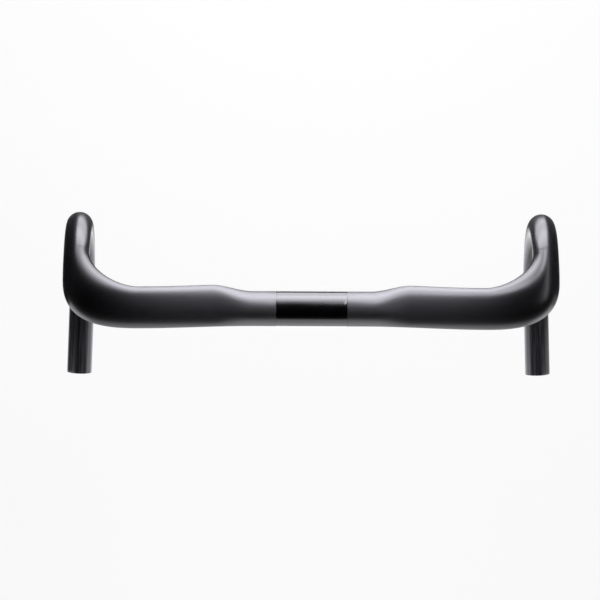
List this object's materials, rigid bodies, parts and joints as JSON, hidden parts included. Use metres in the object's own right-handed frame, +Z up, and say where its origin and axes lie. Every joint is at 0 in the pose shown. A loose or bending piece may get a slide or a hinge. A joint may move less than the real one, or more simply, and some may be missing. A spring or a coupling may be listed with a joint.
{
  "type": "drop handlebar",
  "caption": "Bare carbon drop handlebar with flat wing-shaped tops, a round stem clamp zone, short ramps and open-ended compact drops.",
  "frame": {"origin": "middle of the stem clamp zone, on its axis", "axes": "+X along the tops to the rider's right, +Y forward to the hooks, +Z up"},
  "size_m": [0.4672, 0.1528, 0.1535],
  "materials": {
    "satin_carbon": "satin black carbon fibre",
    "gloss_carbon": "smooth black carbon fibre, glossier than the tops",
    "clamp_coat": "smooth deep black coat",
    "bare_carbon": "uncoated moulded carbon fibre",
    "bond_resin": "cured epoxy",
    "plug_rubber": "matt black rubber"
  },
  "bodies": {
    "root": {"top_section": "satin_carbon", "left_drop": "gloss_carbon", "right_drop": "gloss_carbon", "left_joint_sleeve": "bare_carbon", "right_joint_sleeve": "bare_carbon", "left_bond_line": "bond_resin", "right_bond_line": "bond_resin", "clamp_band": "clamp_coat", "clamp_core": "bare_carbon", "left_exit_port_plug": "plug_rubber", "right_exit_port_plug": "plug_rubber", "left_entry_port_plug": "plug_rubber", "right_entry_port_plug": "plug_rubber"}
  },
  "joints": []
}
